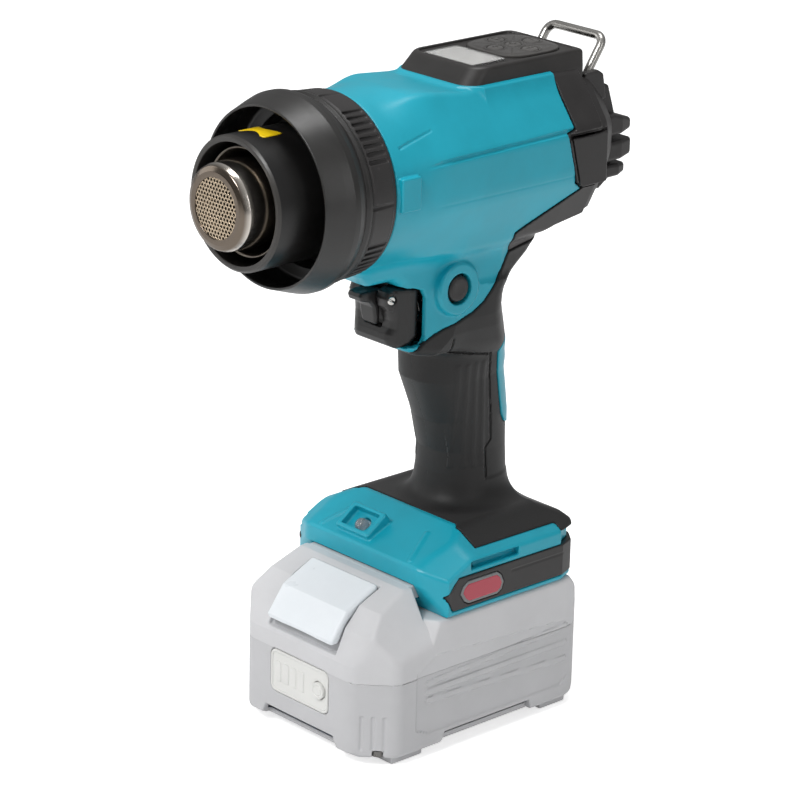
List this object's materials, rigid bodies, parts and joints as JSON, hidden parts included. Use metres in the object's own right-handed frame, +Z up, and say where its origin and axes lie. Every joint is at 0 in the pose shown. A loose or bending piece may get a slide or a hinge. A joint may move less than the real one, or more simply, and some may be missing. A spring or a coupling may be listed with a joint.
{
  "type": "cordless heat gun",
  "caption": "Pistol-grip heat gun with guarded steel nozzle, display and keypad on top, fold-out wire hook, trigger, and a slide-on battery it stands on.",
  "frame": {"origin": "mid-plane of the tool, at the height of the battery's feet, below the grip", "axes": "+Z up, nozzle points to -Y, X across the tool"},
  "size_m": [0.0872, 0.1946, 0.2647],
  "materials": {
    "teal_plastic": "fine spark-eroded moulded plastic",
    "black_plastic": "dark moulded plastic, light grain",
    "soft_rubber": "soft over-moulded grip",
    "nozzle_steel": "turned steel, lightly heat-tinted",
    "mesh_steel": "perforated steel",
    "polished_steel": "polished",
    "yellow_film": "printed film, blank",
    "mica": "layered mica",
    "heating_wire": "resistance wire",
    "motor_steel": "plated",
    "copper": "winding",
    "fan_plastic": "moulded",
    "duct_plastic": "glass-filled plastic",
    "circuit_board": "solder mask",
    "clear_window": "clear",
    "lcd": "display panel, off",
    "key_grey": "silicone key pad",
    "filter": "woven mesh",
    "badge_red": "gloss, blank",
    "clear_lens": "clear",
    "screw_steel": "zinc plated",
    "wire_red": "cable sheath",
    "contact_brass": "plated contacts",
    "pack_grey": "pale grey moulded plastic",
    "pack_button": "near-white moulded plastic",
    "pack_panel": "pale panel",
    "cell_wrap": "shrink film"
  },
  "bodies": {
    "tool": {"display_bezel": "black_plastic", "display_board": "circuit_board", "display_window": "clear_window", "dust_filter": "filter", "fan_duct": "duct_plastic", "foot_bumper": "black_plastic", "front_tube": "black_plastic", "grip_inlays": "teal_plastic", "grip_rubber_left": "soft_rubber", "grip_rubber_right": "soft_rubber", "heat_shield": "polished_steel", "heater_coil": "heating_wire", "heater_former": "mica", "housing_left": "teal_plastic", "housing_right": "teal_plastic", "housing_screws": "screw_steel", "intake_grille": "black_plastic", "keypad": "key_grey", "lcd_panel": "lcd", "led_board": "circuit_board", "led_lens": "clear_lens", "main_board": "circuit_board", "motor_can": "motor_steel", "nozzle": "nozzle_steel", "nozzle_mesh": "mesh_steel", "rear_cover": "black_plastic", "side_badges": "badge_red", "switch_body": "duct_plastic", "temperature_sensor": "contact_brass", "terminal_blades": "contact_brass", "terminal_block": "duct_plastic", "trigger_spring": "motor_steel", "tube_marker": "yellow_film", "wiring_harness": "wire_red"},
    "trigger": {"trigger": "black_plastic", "lever_pin": "polished_steel"},
    "lock_off_lever": {"lock_off_lever": "black_plastic"},
    "lock_button": {"lock_button": "black_plastic"},
    "hook": {"hook": "polished_steel"},
    "blower": {"motor_rotor": "copper", "fan_impeller": "fan_plastic"},
    "lock_ring": {"lock_ring": "black_plastic"},
    "outer_guard": {"outer_guard": "black_plastic"},
    "key_power": {"key_power": "key_grey"},
    "key_plus": {"key_plus": "key_grey"},
    "key_minus": {"key_minus": "key_grey"},
    "key_mode": {"key_mode": "key_grey"},
    "key_fan": {"key_fan": "key_grey"},
    "battery": {"battery_case_lower": "pack_grey", "battery_case_upper": "pack_grey", "battery_screws": "screw_steel", "battery_cells": "cell_wrap", "cell_holder": "duct_plastic", "battery_board": "circuit_board", "battery_contacts": "contact_brass", "gauge_panel": "pack_panel", "latch_spring": "motor_steel"},
    "battery_latch": {"battery_latch": "pack_button"},
    "gauge_button": {"gauge_button": "pack_button"}
  },
  "joints": [
    {"name": "trigger_pull", "type": "slide", "parent": "tool", "child": "trigger", "axis": [0, 1, 0], "range_m": [0, 0.006], "stiffness_N_per_m": 80, "springref_m": -0.004, "deforming": ["trigger_spring"]},
    {"name": "lever_squeeze", "type": "hinge", "parent": "trigger", "child": "lock_off_lever", "pos_m": [0, -0.0446, 0.1756], "axis": [1, 0, 0], "range_deg": [0, 8], "stiffness_Nm_per_rad": 0.02, "springref_deg": -5.73},
    {"name": "lock_press", "type": "slide", "parent": "tool", "child": "lock_button", "axis": [-1, 0, 0], "range_m": [0, 0.003], "stiffness_N_per_m": 60, "springref_m": -0.002},
    {"name": "hook_fold", "type": "hinge", "parent": "tool", "child": "hook", "pos_m": [0, 0.051, 0.2486], "axis": [1, 0, 0], "range_deg": [-60, 30]},
    {"name": "fan_spin", "type": "hinge", "parent": "tool", "child": "blower", "pos_m": [0, 0, 0.2232], "axis": [0, 1, 0], "continuous": true},
    {"name": "ring_twist", "type": "hinge", "parent": "tool", "child": "lock_ring", "pos_m": [0, 0, 0.2232], "axis": [0, 1, 0], "range_deg": [0, 25]},
    {"name": "guard_slide", "type": "slide", "parent": "tool", "child": "outer_guard", "axis": [0, -1, 0], "range_m": [0, 0.045]},
    {"name": "power_key_press", "type": "slide", "parent": "tool", "child": "key_power", "axis": [0, 0, -1], "range_m": [0, 0.0006], "stiffness_N_per_m": 40, "springref_m": -0.001},
    {"name": "plus_key_press", "type": "slide", "parent": "tool", "child": "key_plus", "axis": [0, 0, -1], "range_m": [0, 0.0006], "stiffness_N_per_m": 40, "springref_m": -0.001},
    {"name": "minus_key_press", "type": "slide", "parent": "tool", "child": "key_minus", "axis": [0, 0, -1], "range_m": [0, 0.0006], "stiffness_N_per_m": 40, "springref_m": -0.001},
    {"name": "mode_key_press", "type": "slide", "parent": "tool", "child": "key_mode", "axis": [0, 0, -1], "range_m": [0, 0.0006], "stiffness_N_per_m": 40, "springref_m": -0.001},
    {"name": "fan_key_press", "type": "slide", "parent": "tool", "child": "key_fan", "axis": [0, 0, -1], "range_m": [0, 0.0006], "stiffness_N_per_m": 40, "springref_m": -0.001},
    {"name": "battery_slide", "type": "slide", "parent": "tool", "child": "battery", "axis": [0, -1, 0], "range_m": [0, 0.062]},
    {"name": "latch_press", "type": "slide", "parent": "battery", "child": "battery_latch", "axis": [0, 0, -1], "range_m": [0, 0.003], "stiffness_N_per_m": 120, "springref_m": -0.003, "deforming": ["latch_spring"]},
    {"name": "gauge_press", "type": "slide", "parent": "battery", "child": "gauge_button", "axis": [0, 1, 0], "range_m": [0, 0.0006], "stiffness_N_per_m": 40, "springref_m": -0.001}
  ]
}
